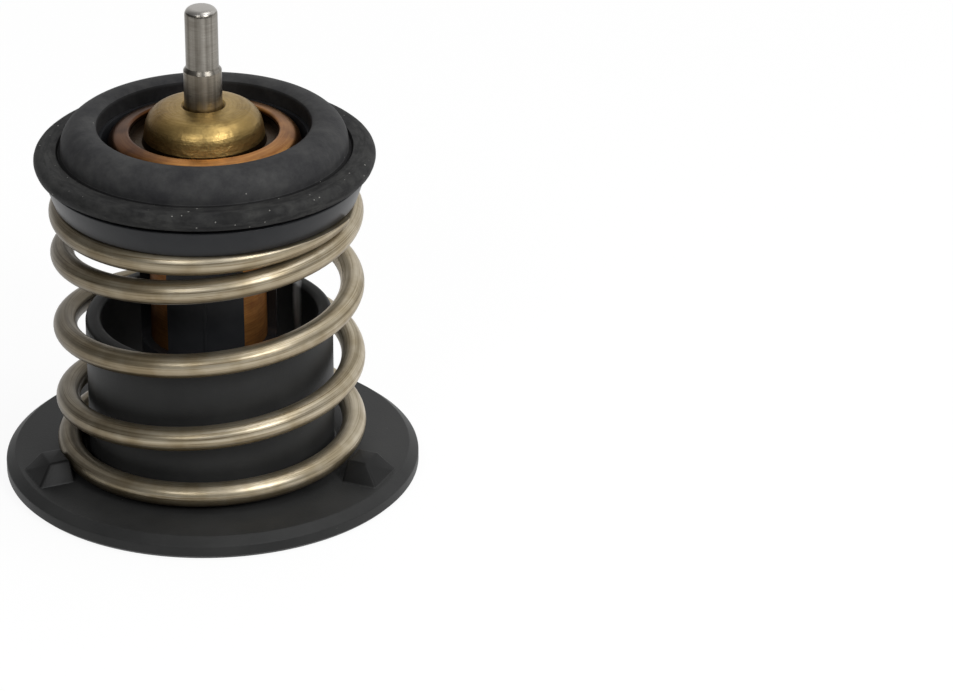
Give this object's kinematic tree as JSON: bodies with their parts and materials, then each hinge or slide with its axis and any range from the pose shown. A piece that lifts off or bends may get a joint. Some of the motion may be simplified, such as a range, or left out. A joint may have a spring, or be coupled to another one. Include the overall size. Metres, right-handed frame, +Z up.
{
  "type": "engine thermostat insert",
  "caption": "Wax-element engine coolant valve: rubber-faced valve disc on a coil spring over a flanged plastic base with a sleeve, and a steel piston out of a brass dome.",
  "frame": {"origin": "middle of the base flange's underside, on the common axis", "axes": "+Z up the axis from the base to the piston's tip; -Y is the front, midway between the two front lugs; +X to the right"},
  "size_m": [0.054, 0.054, 0.0642],
  "materials": {
    "base_plastic": "satin",
    "spring_wire": "drawn",
    "carrier_plastic": "satin",
    "seal_rubber": "matt",
    "copper": "satin",
    "brass": "turned",
    "washer_plastic": "smooth",
    "boot_rubber": "smooth",
    "wax": "matt",
    "piston_steel": "ground"
  },
  "bodies": {
    "base": {"base_flange": "base_plastic", "spring": "spring_wire"},
    "valve": {"valve_carrier": "carrier_plastic", "valve_seal": "seal_rubber", "copper_case": "copper", "brass_guide": "brass", "backup_washer": "washer_plastic", "rubber_boot": "boot_rubber", "wax_charge": "wax"},
    "piston": {"piston": "piston_steel"}
  },
  "joints": [
    {"name": "valve_slide", "type": "slide", "parent": "base", "child": "valve", "axis": [0, 0, -1], "range_m": [0, 0.01], "stiffness_N_per_m": 5000, "springref_m": -0.0002, "deforming": ["spring"]},
    {"name": "piston_slide", "type": "slide", "parent": "valve", "child": "piston", "axis": [0, 0, 1], "range_m": [0, 0.01]}
  ]
}
